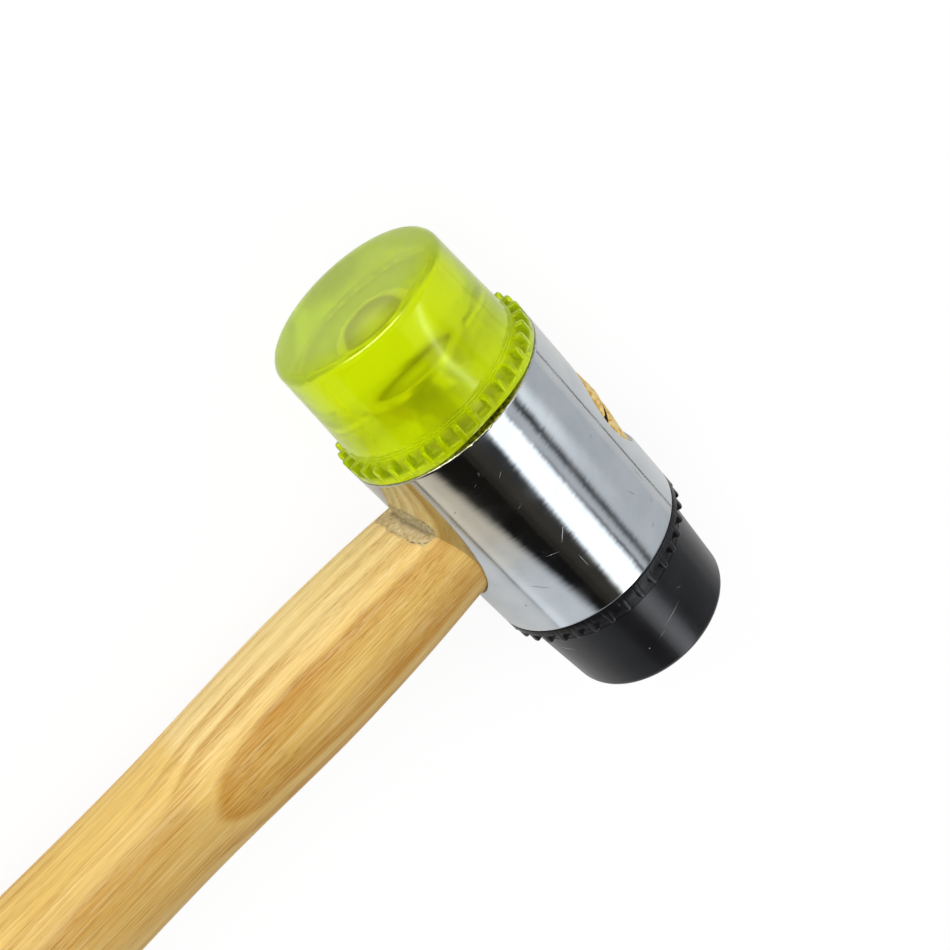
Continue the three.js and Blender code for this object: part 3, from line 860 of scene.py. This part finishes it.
for colour, side, material, slot in (("yellow", -1, clear_yellow, "translucent_plastic"),
                                     ("black", 1, black_rubber, "black_rubber")):
    face = make_piece(colour + "_moulded_face", [face_grid(side)], material, ["pocket_shade"], 28)
    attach(face, colour + "_cap")
    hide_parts(colour + "_face")

# Studio: a white table and white walls, and a soft lamp. For mirrors there is also a tent round the head
# with what they need to show their shape: the lamp's cloth with its black frame, and a black card beside it.
table_half = 3.0
paper_glow = 0.85
paper_light = 1.05
mirror_share = 0.2
wall_light = 0.66


def level_card(name, x_span, y_span, height, material):
    """A flat rectangle that lies level, its corners in metres."""
    (left, right), (near, far) = x_span, y_span
    mesh = bpy.data.meshes.new(name)
    corners = [(left, near, height), (right, near, height), (right, far, height), (left, far, height)]
    mesh.from_pydata(corners, [], [(0, 1, 2, 3)])
    mesh.materials.append(material)
    card = bpy.data.objects.new(name, mesh)
    bpy.context.scene.collection.objects.link(card)
    return card


# The paper glows for the camera and through the plastic. Mirrors get a part of the glow, so that they still
# show the mallet's shadow on it.
white_table, tree = new_material("white_paper")
path = add_node(tree, "LightPath").outputs
seen = add_node(tree, "Math", {
    0: path["Is Camera Ray"], 1: path["Is Transmission Ray"]}, operation="MAXIMUM")
mirrored = add_node(tree, "Math", {0: path["Is Glossy Ray"], 1: mirror_share}, operation="MULTIPLY")
shown = add_node(tree, "Math", {0: seen, 1: mirrored}, operation="MAXIMUM")
paper_share = add_node(tree, "Math", {0: shown, 1: paper_glow}, operation="MULTIPLY")
paper = add_node(tree, "BsdfDiffuse", {"Color": linear("#F4F4F4")})
glow = add_node(tree, "Emission", {"Color": linear("#FFFFFF"), "Strength": paper_light})
lit = add_node(tree, "MixShader", {"Fac": paper_share, 1: paper, 2: glow})
add_node(tree, "OutputMaterial", {"Surface": lit})
floor = level_card("table", (-table_half, table_half), (-table_half, table_half), 0.0, white_table)

world = bpy.data.worlds.new("white_walls")
bpy.context.scene.world = world
world.use_nodes = True
world.node_tree.nodes.clear()
tree = world.node_tree
path = add_node(tree, "LightPath").outputs
seen = add_node(tree, "Math", {0: path["Is Camera Ray"], 1: path["Is Glossy Ray"]}, operation="MAXIMUM")
shown = add_node(tree, "Math", {0: seen, 1: path["Is Transmission Ray"]}, operation="MAXIMUM")
wall_level = add_node(tree, "MapRange", {"Value": shown, "To Min": wall_light, "To Max": 1.0})
walls = add_node(tree, "Background", {"Color": linear("#FFFFFF"), "Strength": wall_level})
add_node(tree, "OutputWorld", {"Surface": walls})

lamp_distance = 0.6
lamp_away = np.array([-0.70, -0.25, 0.67])
lamp_away /= np.linalg.norm(lamp_away)
lamp_side = np.cross(along_head, lamp_away)
lamp_side /= np.linalg.norm(lamp_side)
lamp_data = bpy.data.lights.new("soft_lamp", "AREA")
lamp_data.shape = "RECTANGLE"
lamp_data.size = 0.62
lamp_data.size_y = 0.26
lamp_data.energy = 1.5
lamp = bpy.data.objects.new("soft_lamp", lamp_data)
lamp_spot = head_centre + lamp_distance * lamp_away
lamp.matrix_world = Matrix([
    *zip(np.cross(lamp_side, lamp_away), lamp_side, lamp_away, lamp_spot), (0, 0, 0, 1)])
lamp.visible_glossy = False
lamp.visible_transmission = False
bpy.context.scene.collection.objects.link(lamp)

# Angles are degrees round the head from +Y over the top, and places are millimetres along the head.
tent_radius = 500.0
tent_angles = (-40.0, 220.0)
tent_level = 0.69
tent_middle = 334.0
tent_step = 57.0
tent_bands = [
    # From, to, how far each moves a step along, how soft each is, and the brightness a step towards the
    # yellow face, at the middle and a step towards the black one.
    (28.0, 44.0, 0.0, 3.0, 8.0, 3.0, (1.2, 0.8, 0.72)),
    (47.0, 54.0, 3.0, 3.0, 3.6, 3.6, (0.08, 0.12, 0.12)),
    (62.0, 64.6, 2.1, 2.1, 1.5, 1.5, (0.6, 0.3, 0.15)),
    (66.8, 93.4, 3.0, 4.6, 3.0, 3.0, (1.95, 1.95, 1.95)),
    (93.4, 120.0, 4.6, 0.0, 4.0, 6.0, (0.055, 0.055, 0.055)),
    (114.0, 145.5, 0.0, -8.0, 6.0, 8.0, (0.012, 0.012, 0.012)),
    (143.5, 168.0, -8.0, 0.0, 8.0, 6.0, (0.78, 0.8, 0.86)),
    (166.0, 175.0, 0.0, 2.0, 6.0, 1.5, (0.97, 0.95, 1.1)),
    (176.6, 178.4, 2.0, 2.0, 0.9, 0.9, (0.2, 0.3, 0.7)),
]
lamp_end = (130.0, 175.0)
rubber_step = 1.3
rubber_place = (430.0, 470.0)
rubber_dim = 0.4
rubber_lamp = 4.4
rubber_lamp_from = (66, 78)
rubber_lamp_to = (92, 101)
strip_place = 117.0
strip_angle = 50.0
strip_slant = 0.47
strip_width = 4.0
strip_start = (60, 100)
strip_end = (160.0, 195.0)
strip_level = 12.0
brown_from = (94, 104)
brown_to = (116, 132)
brown_share = 0.5
amber_share = 0.6
amber_steps = (-0.6, 0.7)
glow_level = 1.9
glow_width = 220.0
hoop_place = -500.0
hoop_radius = 490.0
hoop_width = 70.0
hoop_from = (45, 75)
hoop_to = (140, 165)
hoop_level = 25.0


def light_tent():
    """A tube round the head's axis with a brightness: every band eases it to its own between two angles.

    The lamp's cloth ends beside the yellow face, where a slanted strip takes over, and a broad glow lies in
    front of that face; strip and glow are bell curves across their width. Beside the rubber the cloth is
    dimmed and the lamp is a narrow bright band. The dark card's edges are a little brown.
    """
    angle = np.linspace(*tent_angles, 651)
    beside_bar = np.linspace(40, 510, 95)
    along = np.concatenate([[-1500], np.linspace(-1100, 0, 45), beside_bar, [700, 1500]])[:, None]
    steps = np.clip((along - tent_middle) / tent_step, -3, rubber_step)
    level = np.full((along.size, angle.size), tent_level)
    for low, high, low_move, high_move, low_soft, high_soft, brightness in tent_bands:
        from_low = angle - low - low_move * steps
        from_high = angle - high - high_move * steps
        inside = eased(-low_soft, low_soft, from_low) * (1 - eased(-high_soft, high_soft, from_high))
        level = level + inside * (np.interp(steps, (-1, 0, 1), brightness) - level)
    level = level + (1 - eased(*lamp_end, along)) * np.minimum(tent_level - level, 0)
    lamp_core = eased(*rubber_lamp_from, angle) * (1 - eased(*rubber_lamp_to, angle))
    beside_rubber = eased(*rubber_place, along)
    level = level * (1 - rubber_dim * beside_rubber)
    level = level + beside_rubber * lamp_core * (rubber_lamp - level)
    from_strip = angle - strip_angle - strip_slant * (along - strip_place)
    strip = np.exp(-(from_strip / strip_width) ** 2)
    strip = strip * (1 - eased(*strip_end, along)) * eased(*strip_start, along)
    glow = np.exp(-((along - hoop_place) / glow_width) ** 2)
    level = level + strip * (strip_level - level) + glow * (glow_level - tent_level)
    past_brown = eased(*brown_to, angle)
    brown = brown_share * eased(*brown_from, angle) * (1 - past_brown)
    warmth = brown + amber_share * past_brown * (1 - eased(*amber_steps, steps))
    y = tent_radius * np.cos(np.radians(angle))
    z = tent_radius * np.sin(np.radians(angle))
    return np.stack(np.broadcast_arrays(along, y, z, level, warmth), axis=-1)


def bright_hoop():
    """A band round the head's axis before the yellow face, brightest along its middle by a bell curve."""
    angle = np.linspace(10, 185, 176)
    across = np.linspace(-2, 2, 17)[:, None]
    bell = np.exp(-across ** 2) * eased(*hoop_from, angle) * (1 - eased(*hoop_to, angle))
    level = tent_level + (hoop_level - tent_level) * bell
    y = hoop_radius * np.cos(np.radians(angle))
    z = hoop_radius * np.sin(np.radians(angle))
    return np.stack(np.broadcast_arrays(hoop_place + hoop_width * across, y, z, level, 0.0), axis=-1)


# Lamp cloth and card: they only shine, by the level and the warmth in their own layers.
tent_cloth, tree = new_material("lamp_and_card_cloth")
level = add_node(tree, "Attribute", attribute_name="level").outputs["Fac"]
warmth = add_node(tree, "Attribute", attribute_name="warmth").outputs["Fac"]
cast = add_node(tree, "Mix", {
    "Factor": warmth, "A": linear("#F6FAFF"), "B": linear("#FFE6B4")}, data_type="RGBA")
cloth = add_node(tree, "Emission", {"Color": cast, "Strength": level})
add_node(tree, "OutputMaterial", {"Surface": cloth})
tent = make_piece("light_tent", [light_tent()], tent_cloth, ["level", "warmth"])
hoop = make_piece("bright_hoop", [bright_hoop()], tent_cloth, ["level", "warmth"])

# The table ends in a dark edge behind the head, which only mirrors show, as a thin line along the bar.
edge_line = (118.0, 133.0)
edge_span = (-150.0, 500.0)
edge_lift = 0.2
edge_wood, tree = new_material("dark_table_edge")
edge_paint = add_node(tree, "BsdfDiffuse", {"Color": linear("#6E6E6C")})
add_node(tree, "OutputMaterial", {"Surface": edge_paint})
edge_x = [x * MM for x in edge_span]
edge_y = [head_centre[1] + y * MM for y in edge_line]
table_edge = level_card("table_edge", edge_x, edge_y, edge_lift * MM, edge_wood)

# Mirrors show all three, and only the tent is also seen through the plastic.
for mirrored_piece in (tent, hoop, table_edge):
    mirrored_piece.visible_camera = False
    mirrored_piece.visible_diffuse = False
    mirrored_piece.visible_shadow = False
    mirrored_piece.visible_transmission = mirrored_piece == tent

# Camera: placed by fitting the mallet's outlines to the photograph, in millimetres on the mallet's own axes.
# The plain view transform keeps white paper white.
camera_place = np.array([-130.565, -16.152, 206.309])
camera_right = np.array([0.59556, 0.69724, 0.39895])
camera_forward = np.array([0.51936, 0.04467, -0.85339])
camera_data = bpy.data.cameras.new("camera")
camera_data.sensor_width = 36.0
camera_data.lens = 51.97
camera_data.clip_start = 0.01
camera = bpy.data.objects.new("camera", camera_data)
camera_turn = np.array([camera_right, np.cross(camera_right, camera_forward), -camera_forward]) @ mallet_axes
camera_spot = head_centre + camera_place @ mallet_axes * MM
camera.matrix_world = Matrix([*zip(*camera_turn, camera_spot), (0, 0, 0, 1)])
bpy.context.scene.collection.objects.link(camera)
bpy.context.scene.camera = camera
bpy.context.scene.view_settings.view_transform = "Standard"
